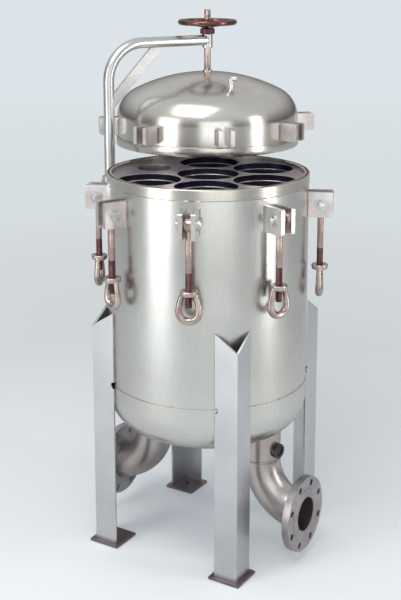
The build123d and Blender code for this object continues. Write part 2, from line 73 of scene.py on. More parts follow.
# ---- sizes that the frame's boxes don't give --------------------------------------------------
WALL = 0.00635  # of the shell
TANGENT = GIRTH - 0.052  # lower end of the head's straight flange
CROWN_SHARE, KNUCKLE_SHARE = 1.8, 0.34  # a 2:1 head's two radii over its outside radius
RIM_BORE_R = 0.290
GROOVE_IN_R, GROOVE_OUT_R, GROOVE_DEPTH = 0.296, 0.303, 0.0054
DOME_WALL = 0.006
DOME_TANGENT = RING_LOW.z + 0.087  # upper end of the lid's straight skirt
LID_BORE_R = 0.280
SCREW_R, SCREW_HOLE_R = 0.0109, 0.011
ELBOW_R = 0.1524
FLANGE_SEAM_R = 0.0588
LEG_SIDE = 0.0762
PLATE_FACE = 0.0247  # outer face of an ear or lug, from the middle of its clevis
CLEVIS_ANGLES = [radians(22.5 + 45 * i) for i in range(8)]
PIN_R = 0.3416  # circle that the clevis pins stand on
THREAD_TOP, BOLT_END = -0.136, -0.236  # heights from the clevis pin
SLEEVE_R = 0.017
DAVIT_SWING = radians(63.5)  # from straight over the vessel to where the lid stands
ROUND = 256  # facets round a large turned form
BEAD_LIFT = 0.0002  # how far a seam bead's centre stands off the surface
AXIS_GAP = 0.0001  # radius where a turned rod's end closes


# ---- materials --------------------------------------------------------------------------------
def gradient(nodes, low, low_color, high, high_color):
    """A colour ramp between two colours."""
    ramp = nodes.new("ShaderNodeValToRGB")
    first, second = ramp.color_ramp.elements
    first.position, first.color = low, (*low_color, 1)
    second.position, second.color = high, (*high_color, 1)
    return ramp


def steel(name, color, rough=0.3, grain=(1, 1, 1), grain_scale=300.0, grain_depth=0.1,
          stain=None, stain_scale=6.0, stain_amount=0.3, bump=0.05, metallic=1.0):
    """Stainless steel with directional grain in its roughness and bump, and cloudy staining."""
    mat = bpy.data.materials.new(name)
    mat.use_nodes = True
    nodes, links = mat.node_tree.nodes, mat.node_tree.links
    shader = nodes["Principled BSDF"]
    shader.inputs["Metallic"].default_value = metallic
    place = nodes.new("ShaderNodeTexCoord")
    stretch = nodes.new("ShaderNodeMapping")
    stretch.inputs["Scale"].default_value = grain
    links.new(place.outputs["Object"], stretch.inputs["Vector"])
    streaks = nodes.new("ShaderNodeTexNoise")
    streaks.inputs["Scale"].default_value = grain_scale
    streaks.inputs["Detail"].default_value = 4
    links.new(stretch.outputs["Vector"], streaks.inputs["Vector"])
    spread = nodes.new("ShaderNodeMapRange")
    spread.inputs["To Min"].default_value = max(0.04, rough - grain_depth)
    spread.inputs["To Max"].default_value = rough + grain_depth
    links.new(streaks.outputs["Fac"], spread.inputs["Value"])
    links.new(spread.outputs["Result"], shader.inputs["Roughness"])
    clouds = nodes.new("ShaderNodeTexNoise")
    clouds.inputs["Scale"].default_value = stain_scale
    clouds.inputs["Detail"].default_value = 3
    links.new(place.outputs["Object"], clouds.inputs["Vector"])
    other = stain or tuple(c * (1 - stain_amount) for c in color)
    ramp = gradient(nodes, 0.35, color, 0.7, other)
    links.new(clouds.outputs["Fac"], ramp.inputs["Fac"])
    links.new(ramp.outputs["Color"], shader.inputs["Base Color"])
    if bump:
        relief = nodes.new("ShaderNodeBump")
        relief.inputs["Strength"].default_value = bump
        relief.inputs["Distance"].default_value = 0.0004
        links.new(streaks.outputs["Fac"], relief.inputs["Height"])
        links.new(relief.outputs["Normal"], shader.inputs["Normal"])
    return mat


def plain(name, color, rough, scale=400.0):
    """A rubber or moulded surface with fine mottling."""
    return steel(name, color, rough, grain_scale=scale, grain_depth=0.08, metallic=0.0,
                 stain_amount=0.25, bump=0.15)


SHELL = steel("shell_satin", (0.64, 0.65, 0.63), 0.29, (1, 1, 0.02), 420, 0.07,
              stain=(0.55, 0.55, 0.53), stain_scale=3.5, bump=0.05)
RIM = steel("rim_turned", (0.66, 0.65, 0.60), 0.26, (0.05, 0.05, 1), 400, 0.08,
            stain=(0.54, 0.50, 0.46), stain_scale=5, bump=0.06)
LID = steel("lid_polished", (0.66, 0.66, 0.63), 0.22, (1, 1, 0.2), 160, 0.06,
            stain=(0.55, 0.49, 0.45), stain_scale=4, bump=0.04)
LID_RING = steel("lid_ring_turned", (0.66, 0.65, 0.61), 0.26, (0.05, 0.05, 1), 500, 0.07,
                 stain=(0.56, 0.52, 0.48), bump=0.05)
PLATE = steel("plate_bright", (0.84, 0.83, 0.84), 0.33, (1, 1, 1), 900, 0.08,
              stain=(0.62, 0.54, 0.51), stain_scale=14, bump=0.1)
LEG = steel("leg_mill", (0.62, 0.64, 0.67), 0.32, (1, 1, 0.04), 220, 0.08,
            stain=(0.54, 0.54, 0.56), stain_scale=5, bump=0.08)
FOOT = steel("base_plate_steel", (0.26, 0.20, 0.21), 0.48, (1, 1, 1), 300, 0.1,
             stain=(0.16, 0.14, 0.15), stain_scale=22, bump=0.15)
PIPE = steel("pipe_pickled", (0.52, 0.50, 0.49), 0.32, (1, 1, 1), 500, 0.07,
             stain=(0.40, 0.34, 0.33), stain_scale=7, bump=0.08)
FLANGE = steel("flange_turned", (0.46, 0.44, 0.46), 0.36, (1, 1, 1), 700, 0.09,
               stain=(0.34, 0.31, 0.33), stain_scale=14, bump=0.12)
SHEET = steel("tube_sheet_satin", (0.44, 0.41, 0.44), 0.32, (0.1, 1, 1), 300, 0.08,
              stain=(0.34, 0.30, 0.34), stain_scale=8, bump=0.06)
# painted shade: near-black steel standing in for the shadow inside the bag wells
WELL = steel("well_painted_shade", (0.055, 0.055, 0.10), 0.36, (1, 1, 1), 300, 0.08,
             stain=(0.04, 0.02, 0.05), stain_scale=9, bump=0.05)
# painted shade: the baskets are coloured near-black for the shadow they stand in, deep in the
# wells
BASKET = steel("basket_painted_shade", (0.13, 0.12, 0.17), 0.34, (1, 1, 1), 400, 0.08, bump=0.05)
TUBE = steel("davit_tube_steel", (0.66, 0.67, 0.68), 0.30, (1, 1, 0.1), 400, 0.07,
             stain=(0.52, 0.52, 0.53), stain_scale=9, bump=0.06)
BRACE = steel("brace_bar", (0.60, 0.61, 0.62), 0.42, (1, 1, 1), 600, 0.08,
              stain=(0.48, 0.48, 0.49), stain_scale=14, bump=0.08)
BOLT = steel("bolt_machined", (0.52, 0.42, 0.38), 0.26, (1, 1, 0.1), 900, 0.07,
             stain=(0.36, 0.26, 0.24), stain_scale=30, bump=0.05)
THREAD = steel("bolt_thread", (0.20, 0.10, 0.10), 0.42, (1, 1, 1), 900, 0.08,
               stain=(0.12, 0.05, 0.06), stain_scale=60, bump=0.08)
NUT = steel("nut_forged", (0.55, 0.48, 0.43), 0.26, (1, 1, 1), 350, 0.07,
            stain=(0.34, 0.25, 0.23), stain_scale=24, bump=0.12)
PIN = steel("pin_bright", (0.74, 0.76, 0.76), 0.28, (1, 1, 1), 800, 0.07,
            stain=(0.50, 0.52, 0.52), stain_scale=40, bump=0.06)
SCREW = steel("lift_screw_steel", (0.60, 0.50, 0.45), 0.24, (1, 1, 0.2), 700, 0.06,
              stain=(0.44, 0.35, 0.32), stain_scale=30, bump=0.05)
WHEEL = steel("wheel_cast", (0.26, 0.14, 0.12), 0.24, (1, 1, 1), 260, 0.06,
              stain=(0.10, 0.04, 0.04), stain_scale=22, bump=0.10)
WELD = steel("weld_bead", (0.46, 0.42, 0.40), 0.36, (1, 1, 1), 500, 0.1,
             stain=(0.28, 0.21, 0.20), stain_scale=30, bump=0.15)
DARK = steel("coupling_blackened", (0.07, 0.05, 0.07), 0.38, (1, 1, 1), 300, 0.08,
             stain=(0.16, 0.11, 0.13), stain_scale=40, bump=0.1)
COLLAR = plain("collar_red", (0.085, 0.012, 0.022), 0.4)
SEAL = plain("seal_brown", (0.10, 0.045, 0.03), 0.55)
PLUG = plain("plug_black", (0.018, 0.010, 0.016), 0.5)


# ---- mesh helpers -----------------------------------------------------------------------------
def new_object(name, verts, faces, material, body):
    """A piece made of the given mesh, riding on a body."""
    mesh = bpy.data.meshes.new(name)
    mesh.from_pydata([tuple(v) for v in verts], [], faces)
    mesh.polygons.foreach_set("use_smooth", [True] * len(mesh.polygons))
    mesh.materials.append(material)
    piece = bpy.data.objects.new(name, mesh)
    bpy.context.scene.collection.objects.link(piece)
    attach(piece, body)
    return piece


def rounded(points, radius, steps=3):
    """A closed profile with every corner rounded, as a list of (r, z) points."""
    out = []
    count = len(points)
    for i in range(count):
        here = Vector(points[i])
        before = Vector(points[i - 1]) - here
        after = Vector(points[(i + 1) % count]) - here
        cut = min(radius, before.length * 0.45, after.length * 0.45)
        a, b = here + before.normalized() * cut, here + after.normalized() * cut
        for k in range(steps + 1):
            t = k / steps
            out.append(tuple((1 - t) ** 2 * a + 2 * t * (1 - t) * here + t**2 * b))
    return out


def lathe_mesh(profile, segments, centre=(0, 0, 0)):
    """Vertices and faces of a closed (radius, z) profile turned about a vertical axis."""
    cx, cy, cz = centre
    count = len(profile)
    verts = [(cx + r * cos(2 * pi * s / segments), cy + r * sin(2 * pi * s / segments), cz + z)
             for s in range(segments) for r, z in profile]
    faces = []
    for s in range(segments):
        here, ahead = s * count, (s + 1) % segments * count
        for i in range(count):
            j = (i + 1) % count
            faces.append((here + i, ahead + i, ahead + j, here + j))
    return verts, faces


def lathe(name, profile, segments, centre, material, body):
    """A closed profile turned into a piece that rides on a body."""
    verts, faces = lathe_mesh(profile, segments, centre)
    piece = new_object(name, verts, faces, material, body)
    outward(piece)
    return piece


def outward(piece):
    """Point every face of a closed piece outwards."""
    work = bmesh.new()
    work.from_mesh(piece.data)
    bmesh.ops.remove_doubles(work, verts=work.verts, dist=1e-6)
    bmesh.ops.recalc_face_normals(work, faces=work.faces)
    work.to_mesh(piece.data)
    work.free()


def sharpen(piece, angle=35):
    """Keep edges sharper than the angle crisp in a smooth-shaded piece."""
    piece.data.polygons.foreach_set("use_smooth", [True] * len(piece.data.polygons))
    work = bmesh.new()
    work.from_mesh(piece.data)
    for edge in work.edges:
        edge.smooth = not (edge.is_manifold and edge.calc_face_angle(0) > radians(angle))
    work.to_mesh(piece.data)
    work.free()


def softened(node, material, body, width=0.0008):
    """A copy of a CAD node with its sharp edges rounded, which replaces it."""
    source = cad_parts[node]
    work = bmesh.new()
    work.from_mesh(source.data)
    bmesh.ops.remove_doubles(work, verts=work.verts, dist=2e-6)
    bmesh.ops.dissolve_limit(work, angle_limit=radians(0.5), verts=work.verts, edges=work.edges)
    sharp = [e for e in work.edges if e.is_manifold and e.calc_face_angle(0) > radians(32)]
    bmesh.ops.bevel(work, geom=sharp, offset=width, segments=2, profile=0.5, affect="EDGES",
                    clamp_overlap=True)
    bmesh.ops.triangulate(work, faces=[f for f in work.faces if len(f.verts) > 4])
    mesh = bpy.data.meshes.new(node + "_soft")
    work.to_mesh(mesh)
    work.free()
    mesh.materials.clear()
    mesh.materials.append(material)
    piece = bpy.data.objects.new(node + "_soft", mesh)
    bpy.context.scene.collection.objects.link(piece)
    sharpen(piece, 20)
    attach(piece, body)
    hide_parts(node)
    return piece


def tube_mesh(points, radius_at, sides=8, closed=False):
    """A tube along points, with radius_at(i, side angle) giving its radius."""
    count = len(points)
    verts, faces = [], []
    side = None
    for i, p in enumerate(points):
        ahead = points[(i + 1) % count] if closed or i < count - 1 else p
        behind = points[i - 1] if closed or i > 0 else p
        along = (ahead - behind).normalized()
        if side is None:
            side = along.orthogonal().normalized()
        side = (side - along * side.dot(along)).normalized()
        up = along.cross(side)
        for k in range(sides):
            t = 2 * pi * k / sides
            verts.append(p + (side * cos(t) + up * sin(t)) * radius_at(i, t))
    for i in range(count if closed else count - 1):
        j = (i + 1) % count
        for k in range(sides):
            m = (k + 1) % sides
            faces.append((i * sides + k, j * sides + k, j * sides + m, i * sides + m))
    if not closed:
        faces.append(tuple(range(sides))[::-1])
        faces.append(tuple((count - 1) * sides + k for k in range(sides)))
    return verts, faces


def weld(name, points, radius, body, closed=False, ripple=0.0028):
    """A weld bead along points, with its overlapping ripples."""
    dense = []
    count = len(points)
    for i in range(count if closed else count - 1):
        a, b = points[i], points[(i + 1) % count]
        steps = max(1, ceil((b - a).length / (ripple / 2)))
        dense += [a.lerp(b, k / steps) for k in range(steps)]
    if not closed:
        dense.append(points[-1])

    def swell(i, t):
        wave = 0.86 + 0.14 * (i % 2)
        return radius * wave * (1 + 0.12 * noise.noise(dense[i] * 90))

    verts, faces = tube_mesh(dense, swell, 6, closed)
    return new_object(name, verts, faces, WELD, body)


def circle_points(centre, radius, count, start=0.0, end=2 * pi):
    """Points on a level circle or arc."""
    step = (end - start) / count
    return [centre + Vector((cos(start + step * i), sin(start + step * i), 0)) * radius
            for i in range(count)]


def dish(radius, inset, count=22):
    """Points of a 2:1 dished head from its tangent line to its crown."""
    knuckle, crown = KNUCKLE_SHARE * radius - inset, CROWN_SHARE * radius - inset
    hub = radius - inset - knuckle
    drop = sqrt((crown - knuckle) ** 2 - hub**2)
    lean = asin(hub / (crown - knuckle))
    points = [(hub + knuckle * cos(t), knuckle * sin(t))
              for t in ((pi / 2 - lean) * i / count for i in range(count + 1))]
    points += [(crown * sin(t), crown * cos(t) - drop)
               for t in (lean * (1 - i / count) for i in range(1, count + 1))]
    return points


def dish_height(radius, r):
    """Height of the dished head's outside over its tangent line, on the crown."""
    knuckle, crown = KNUCKLE_SHARE * radius, CROWN_SHARE * radius
    hub = radius - knuckle
    drop = sqrt((crown - knuckle) ** 2 - hub**2)
    if r < crown * hub / (crown - knuckle):
        return sqrt(crown**2 - r**2) - drop
    return sqrt(max(0.0, knuckle**2 - (r - hub) ** 2))


def remeshed(verts, faces, voxel, smoothing):
    """One blended skin over overlapping closed forms."""
    mesh = bpy.data.meshes.new("blend")
    mesh.from_pydata([tuple(v) for v in verts], [], faces)
    shape = bpy.data.objects.new("blend", mesh)
    bpy.context.scene.collection.objects.link(shape)
    skin = shape.modifiers.new("skin", "REMESH")
    skin.mode = "VOXEL"
    skin.voxel_size = voxel
    ease = shape.modifiers.new("ease", "SMOOTH")
    ease.iterations = smoothing
    ease.factor = 0.5
    bpy.context.view_layer.update()
    result = shape.evaluated_get(bpy.context.evaluated_depsgraph_get()).to_mesh()
    out_verts = [v.co.copy() for v in result.vertices]
    out_faces = [tuple(p.vertices) for p in result.polygons]
    bpy.data.objects.remove(shape)
    bpy.data.meshes.remove(mesh)
    return out_verts, out_faces


def joined(parts):
    """Several vertex and face lists as one."""
    verts, faces = [], []
    for part_verts, part_faces in parts:
        base = len(verts)
        verts += part_verts
        faces += [tuple(base + i for i in face) for face in part_faces]
    return verts, faces


# ---- camera -----------------------------------------------------------------------------------
eye = bpy.data.cameras.new("camera")
camera = bpy.data.objects.new("camera", eye)
bpy.context.scene.collection.objects.link(camera)
camera.location = (1.763, -2.886, 1.800)
heading, pitch = radians(31.80), radians(11.11)
aim = Vector((-sin(heading) * cos(pitch), cos(heading) * cos(pitch), -sin(pitch)))
camera.rotation_euler = aim.to_track_quat("-Z", "Y").to_euler()
eye.lens = 68.4
eye.sensor_width = 36
eye.shift_y = -0.20
bpy.context.scene.camera = camera


# ---- vessel -----------------------------------------------------------------------------------
def make_vessel():
    """The shell's barrel, the turned ring with its seal groove, and the girth weld."""
    r, top = SHELL_R, SHELL_HIGH.z
    barrel = rounded([(r - WALL, GIRTH), (r, GIRTH), (r, top), (r - WALL, top)], 0.0008, 1)
    piece = lathe("shell_barrel", barrel, ROUND, (0, 0, 0), SHELL, "vessel")
    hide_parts("shell")
    sharpen(piece)
    ring, low, high = RIM_HIGH.x, RIM_LOW.z, RIM_HIGH.z
    lead, edge = 0.002, 0.0012
    profile = [(RIM_BORE_R, low), (r, low), (ring, low + lead), (ring, high - edge),
               (ring - edge, high), (GROOVE_OUT_R, high), (GROOVE_OUT_R, high - GROOVE_DEPTH),
               (GROOVE_IN_R, high - GROOVE_DEPTH), (GROOVE_IN_R, high),
               (RIM_BORE_R + edge, high), (RIM_BORE_R, high - edge)]
    piece = lathe("rim_turned_ring", profile, ROUND, (0, 0, 0), RIM, "vessel")
    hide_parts("rim_ring")
    sharpen(piece, 30)
    seam = circle_points(Vector((0, 0, GIRTH)), r + BEAD_LIFT, 200)
    piece = weld("girth_bead", seam, 0.0013, "vessel", True, 0.004)
    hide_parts("girth_weld")


def paint(node, material):
    """Give a CAD node another material."""
    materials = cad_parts[node].data.materials
    materials.clear()
    materials.append(material)


def pipe_welds():
    """Beads where the pipes meet the head, the elbows and the flanges."""
    head_seam = []
    for k in range(72):
        t = 2 * pi * k / 72
        x, y = PIPE_X + PIPE_R * cos(t), PIPE_R * sin(t)
        head_seam.append(Vector((x, y, TANGENT - dish_height(SHELL_R, sqrt(x * x + y * y)))))
    weld("outlet_head_bead", head_seam, 0.0032, "vessel", True, 0.004)
    far_seam = [Vector((-p.x, -p.y, p.z)) for p in head_seam]
    weld("inlet_head_bead", far_seam, 0.0032, "vessel", True, 0.004)
    back = abs(OUTLET_LOW.x) - 0.0005
    for side, height, label in ((1, OUTLET_Z, "outlet"), (-1, INLET_Z, "inlet")):
        seam = circle_points(Vector((side * PIPE_X, 0, height + ELBOW_R)), PIPE_R, 60)
        weld(label + "_elbow_bead", seam, 0.0034, "vessel", True, 0.004)
        seam = [Vector((side * back, FLANGE_SEAM_R * cos(2 * pi * k / 60),
                        height + FLANGE_SEAM_R * sin(2 * pi * k / 60))) for k in range(60)]
        weld(label + "_flange_bead", seam, 0.0045, "vessel", True, 0.005)


def plate_welds():
    """Beads along the outer faces of the clevis ears and the lid lugs."""
    off, lug_top_gap = 0.001, 0.006
    for i, angle in enumerate(CLEVIS_ANGLES, 1):
        turn = Matrix.Rotation(angle, 4, "Z")
        lid_turn = Matrix.Rotation(angle + DAVIT_SWING, 4, "Z")
        for side in (-1, 1):
            y = side * PLATE_FACE
            x = sqrt(SHELL_R**2 - y * y)
            run = [turn @ Vector((x + off, y + side * off, z))
                   for z in (EAR_LOW.z + off, EAR_HIGH.z - off)]
            weld(f"ear_bead_{i}_{side + 1}", run, 0.0026, "vessel")
            x = sqrt(DOME_R**2 - y * y)
            run = [LID_AXIS + lid_turn @ Vector((x + off, y + side * off, z))
                   for z in (LUG_LOW.z + off, LUG_HIGH.z - lug_top_gap)]
            weld(f"lug_bead_{i}_{side + 1}", run, 0.0024, "lid")


def leg_welds():
    """Beads along both edges of each leg, broken at the girth weld."""
    end_gap, notch = 0.004, 0.012
    runs = ((TANGENT + end_gap, GIRTH - notch, "low"),
            (GIRTH + notch, LEG_HIGH.z - end_gap, "high"))
    near = LEG_HIGH.x - LEG_SIDE
    edge = Vector((near - 0.0003, sqrt(SHELL_R**2 - near * near) + 0.0012, 0))
    for i in range(4):
        turn = Matrix.Rotation(pi / 2 * i, 4, "Z")
        for side, spot in enumerate((edge, Vector((edge.y, edge.x, 0)))):
            for low, high, tag in runs:
                run = [turn @ (spot + Vector((0, 0, z))) for z in (low, high)]
                weld(f"leg_bead_{i + 1}_{side}_{tag}", run, 0.0026, "vessel")


def lid_and_arm_welds():
    """Beads round the lid's seam and where the davit's arm meets its sleeve."""
    seam = LID_AXIS + Vector((0, 0, RING_HIGH.z))
    weld("lid_seam_bead", circle_points(seam, DOME_R + BEAD_LIFT, 160), 0.0016, "lid", True, 0.004)
    tip = Vector((cos(DAVIT_SWING), sin(DAVIT_SWING), 0))
    across = Vector((-tip.y, tip.x, 0))
    arm_z = (SLEEVE_LOW.z + SLEEVE_HIGH.z) / 2 + 0.0025
    seam_r, off = 0.0168, 0.0006
    arm = []
    for k in range(40):
        t = 2 * pi * k / 40
        y, z = seam_r * cos(t), seam_r * sin(t)
        out = sqrt(SLEEVE_R**2 - y * y) + off
        arm.append(LID_AXIS - tip * out + across * y + Vector((0, 0, arm_z + z)))
    weld("arm_bead", arm, 0.0022, "davit", True)


# ---- lid --------------------------------------------------------------------------------------
def make_lid():
    """The lid's dome, drawn with fine facets, and its turned ring."""
    skirt_low = RING_HIGH.z
    outer = [(DOME_R, skirt_low)] + [(r, DOME_TANGENT + z) for r, z in dish(DOME_R, 0)]
    inner = [(DOME_R - DOME_WALL, skirt_low)]
    inner += [(r, DOME_TANGENT + z) for r, z in dish(DOME_R, DOME_WALL)]
    hole = [(SCREW_HOLE_R, outer[-1][1]), (SCREW_HOLE_R, inner[-1][1])]
    profile = outer[:-1] + hole + inner[:-1][::-1]
    piece = lathe("lid_dome_shell", profile, ROUND, LID_AXIS, LID, "lid")
    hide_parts("lid_dome")
    sharpen(piece, 50)
    low, high = RING_LOW.z, RING_HIGH.z
    ring = (RING_HIGH.x - RING_LOW.x) / 2
    profile = rounded([(LID_BORE_R, low), (ring, low), (ring, high), (LID_BORE_R, high)],
                      0.0015, 2)
    piece = lathe("lid_turned_ring", profile, ROUND, LID_AXIS, LID_RING, "lid")
    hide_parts("lid_ring")
    sharpen(piece, 50)


# ---- swing bolts and eye nuts -----------------------------------------------------------------
def bolt_mesh():
    """A swing bolt's eye and plain shank, hanging from the origin in its clevis plane."""
    bore, eye_r, half = 0.0096, 0.018, 0.0105
    shank_r, shank_top = 0.0094, -0.012
    eye_verts, eye_faces = lathe_mesh(rounded([(bore, -half), (eye_r, -half), (eye_r, half),
                                               (bore, half)], 0.002, 3), 48)
    eye_verts = [Vector((x, z, y)) for x, y, z in eye_verts]
    shank = rounded([(0.0, THREAD_TOP), (shank_r, THREAD_TOP), (shank_r, shank_top),
                     (0.0, shank_top)], 0.0006, 1)
    shank = [p for p in shank if p[0] > AXIS_GAP]
    shank = [(AXIS_GAP, THREAD_TOP - 0.001)] + shank + [(AXIS_GAP, shank_top)]
    verts, faces = lathe_mesh(shank, 32)
    return joined([(eye_verts, eye_faces), ([Vector(v) for v in verts], faces)])


def thread_mesh(radius, low, high, pitch=0.0025, depth=0.0013, sides=24):
    """A rod with a helical thread between two heights, capped."""
    rows_per_turn, end_cut = 4, 0.0008
    rows = int((high - low) / pitch * rows_per_turn)
    verts, faces = [], []
    for row in range(rows + 1):
        z = low + (high - low) * row / rows
        for k in range(sides):
            phase = (z / pitch + k / sides) % 1.0
            crest = abs(phase - 0.5) * 2
            fade = min(1, (z - low) / pitch, (high - z) / pitch)
            r = radius - depth * crest * fade - end_cut * (1 - fade)
            verts.append(Vector((r * cos(2 * pi * k / sides), r * sin(2 * pi * k / sides), z)))
    for row in range(rows):
        for k in range(sides):
            a, b = row * sides + k, row * sides + (k + 1) % sides
            faces.append((a, b, b + sides, a + sides))
    faces.append(tuple(range(sides))[::-1])
    faces.append(tuple(rows * sides + k for k in range(sides)))
    return verts, faces


def nut_mesh():
    """A forged eye nut below its bearing face: a bored collar whose shoulders run down into a
    pear-shaped eye."""
    bore, face_r, waist_r = 0.0108, 0.0235, 0.0255
    collar = rounded([(bore, 0), (face_r, 0), (waist_r, -0.003), (face_r, -0.015),
                      (bore, -0.018)], 0.0015, 2)
    collar_verts, collar_faces = lathe_mesh(collar, 48)
    arm_top, centre, ring = -0.010, -0.0620, 0.0285
    neck, flare = 0.0180, 0.0105
    arm = [Vector((0, neck + flare * sin(t * pi / 2), arm_top + (centre - arm_top) * t))
           for t in (k / 14 for k in range(14))]
    bottom = [Vector((0, ring * cos(t), centre - ring * sin(t)))
              for t in (pi * k / 32 for k in range(33))]
    path = arm + bottom + [Vector((0, -p.y, p.z)) for p in reversed(arm)]
    count = len(path)

    def section(i, t):
        along = min(i, count - 1 - i) / (count / 2)
        return 0.0076 + 0.0034 * min(1, along * 1.6)

    loop = tube_mesh(path, section, 20)
    return remeshed(*joined([([Vector(v) for v in collar_verts], collar_faces), loop]), 0.0013, 5)


def make_bolts():
    """The eight swing bolts with their threads and eye nuts."""
    bolt, nut = bolt_mesh(), nut_mesh()
    threads = thread_mesh(0.0099, BOLT_END, THREAD_TOP)
    nut_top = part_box("eye_nut_1")[1].z
    for i, angle in enumerate(CLEVIS_ANGLES, 1):
        spot = Matrix.Rotation(angle, 4, "Z") @ Matrix.Translation((PIN_R, 0, PIN_Z))
        piece = new_object(f"bolt_{i}_shank", [spot @ Vector(v) for v in bolt[0]], bolt[1], BOLT,
                           f"bolt_{i}")
        outward(piece)
        sharpen(piece, 45)
        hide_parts(f"swing_bolt_{i}")
        piece = new_object(f"bolt_{i}_thread", [spot @ v for v in threads[0]], threads[1], THREAD,
                           f"bolt_{i}")
        sharpen(piece, 60)
        spot = Matrix.Rotation(angle, 4, "Z") @ Matrix.Translation((PIN_R, 0, nut_top))
        piece = new_object(f"nut_{i}_forging", [spot @ v for v in nut[0]], nut[1], NUT,
                           f"nut_{i}")
        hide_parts(f"eye_nut_{i}")


def make_cotters():
    """Split pins: a round eye over the clevis pin and two legs spread below it."""
    low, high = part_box("cotter_pins")
    rise = (high.z - low.z) / 2
    at = Vector((PIN_R, -0.033, PIN_Z))
    wire_r = 0.00085
    eye_half, eye_tall, eye_top = 0.0024, 0.0050, 0.0012
    gap, leg_top, leg_long = 0.0007, 0.007, 0.0165
    tail_top, tail_spread = 0.0235, 0.0042
    tail_long = 2 * rise - 0.0250
    for i, angle in enumerate(CLEVIS_ANGLES, 1):
        turn = Matrix.Rotation(angle, 4, "Z")
        parts = []
        for side in (-1, 1):
            eye_part = [Vector((side * eye_half * sin(pi * k / 8), 0,
                                rise - eye_tall * k / 8 - eye_top)) for k in range(9)]
            leg = [Vector((side * gap, 0, rise - leg_top - leg_long * k / 8)) for k in range(9)]
            tail = [Vector((side * (gap + tail_spread * (k / 6) ** 2), 0,
                            rise - tail_top - tail_long * k / 6)) for k in range(1, 7)]
            path = [turn @ (at + v) for v in eye_part + leg + tail]
            parts.append(tube_mesh(path, lambda k, t: wire_r, 8))
        verts, faces = joined(parts)
        piece = new_object(f"cotter_{i}", verts, faces, PIN, "vessel")
        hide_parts("cotter_pins")


# ---- handwheel --------------------------------------------------------------------------------
def make_wheel():
    """The cast handwheel: rim, bored hub and four curved spokes blended into one skin."""
    rim_z = WHEEL_HIGH.z - 0.0100
    rim_r, section = 0.0882, 0.0088
    rim = [LID_AXIS + Vector((rim_r * cos(2 * pi * k / 96), rim_r * sin(2 * pi * k / 96), rim_z))
           for k in range(96)]
    parts = [tube_mesh(rim, lambda i, t: section, 20, True)]
    bore, hub_r, hub_top_r = 0.0122, 0.0188, 0.0180
    hub = rounded([(bore, WHEEL_LOW.z), (hub_r, WHEEL_LOW.z), (hub_top_r, WHEEL_HIGH.z),
                   (bore, WHEEL_HIGH.z)], 0.0015, 2)
    hub_verts, hub_faces = lathe_mesh(hub, 40, LID_AXIS)
    parts.append(([Vector(v) for v in hub_verts], hub_faces))
    root_z, root, span, sweep = WHEEL_LOW.z + 0.010, 0.0165, 0.0695, 0.006
    spokes, first_angle = 4, 20
    for k in range(spokes):
        t = radians(first_angle + 360 / spokes * k)
        out = Vector((cos(t), sin(t), 0))
        side = Vector((-out.y, out.x, 0))
        arm = [LID_AXIS + out * (root + span * s / 12) + side * sweep * sin(pi * s / 12)
               + Vector((0, 0, root_z + (rim_z - root_z) * s / 12)) for s in range(13)]
        parts.append(tube_mesh(arm, lambda i, t: 0.0062 + 0.0008 * abs(i - 6) / 6, 12))
    verts, faces = remeshed(*joined(parts), 0.0015, 5)
    piece = new_object("handwheel_casting", verts, faces, WHEEL, "handwheel")
    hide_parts("handwheel")


def make_lift_screw():
    """A smooth rod whose thread shows above the handwheel."""
    top, split = SCREW_HIGH.z, WHEEL_HIGH.z - 0.004
    threads = thread_mesh(SCREW_R, split, top, 0.004, 0.0016, 28)
    piece = new_object("lift_screw_thread", [LID_AXIS + v for v in threads[0]], threads[1], SCREW,
                       "lid")
    sharpen(piece, 60)
    overlap = split + 0.001
    profile = rounded([(AXIS_GAP, SCREW_LOW.z), (SCREW_R, SCREW_LOW.z), (SCREW_R, overlap),
                       (AXIS_GAP, overlap)], 0.0005, 1)
    piece = lathe("lift_screw_shank", profile, 40, LID_AXIS, SCREW, "lid")
    sharpen(piece, 60)
    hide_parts("lift_screw")


# ---- carried-over nodes -----------------------------------------------------------------------
def darken_wells(sheet):
    """Paint shade onto the walls and seats of the bag wells, as a near-black material of their
    own.
    """
    wells = []
    for i in range(1, 7):
        low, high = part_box(f"basket_{i}")
        wells.append(Vector(((low.x + high.x) / 2, (low.y + high.y) / 2)))
    sheet.data.materials.append(WELL)
    reach, mouth, ledge = 0.0935, RIM_HIGH.z - 0.0115, RIM_HIGH.z - 0.020
    for face in sheet.data.polygons:
        spot, height = face.center.xy, face.center.z
        # walls and deep seats inside a well take the painted shade
        in_well = height < mouth and min((spot - well).length for well in wells) < reach
        if in_well and (abs(face.normal.z) < 0.5 or height < ledge):
            face.material_index = 1


# CAD nodes shown as copies with rounded edges: node, material, body, slot, edge width
SOFTENED = [
    *((f"leg_{i}", LEG, "vessel", "leg_steel", 0.0010) for i in range(1, 5)),
    ("base_plates", FOOT, "vessel", "leg_steel", 0.0008),
    ("clevis_ears", PLATE, "vessel", "plate_steel", 0.0010),
    ("lid_lugs", PLATE, "lid", "plate_steel", 0.0010),
    ("bracket_lower", PLATE, "vessel", "plate_steel", 0.0010),
    ("bracket_upper", PLATE, "vessel", "plate_steel", 0.0010),
    ("davit_brace", BRACE, "davit", "davit_steel", 0.0010),
    ("outlet_flange", FLANGE, "vessel", "flange_steel", 0.0008),
    ("inlet_flange", FLANGE, "vessel", "flange_steel", 0.0008),
    ("clevis_pins", PIN, "vessel", "pin_steel", 0.0008),
    ("pin_washers", PIN, "vessel", "pin_steel", 0.0005),
    ("thrust_collar", COLLAR, "davit", "collar_red", 0.0012),
    ("davit_sleeve", TUBE, "davit", "davit_steel", 0.0010),
    ("post_collar", PIN, "davit", "plate_steel", 0.0012),
    ("tube_sheet", SHEET, "vessel", "sheet_steel", 0.0012),
    ("drain_coupling", DARK, "vessel", "pipe_steel", 0.0012),
]

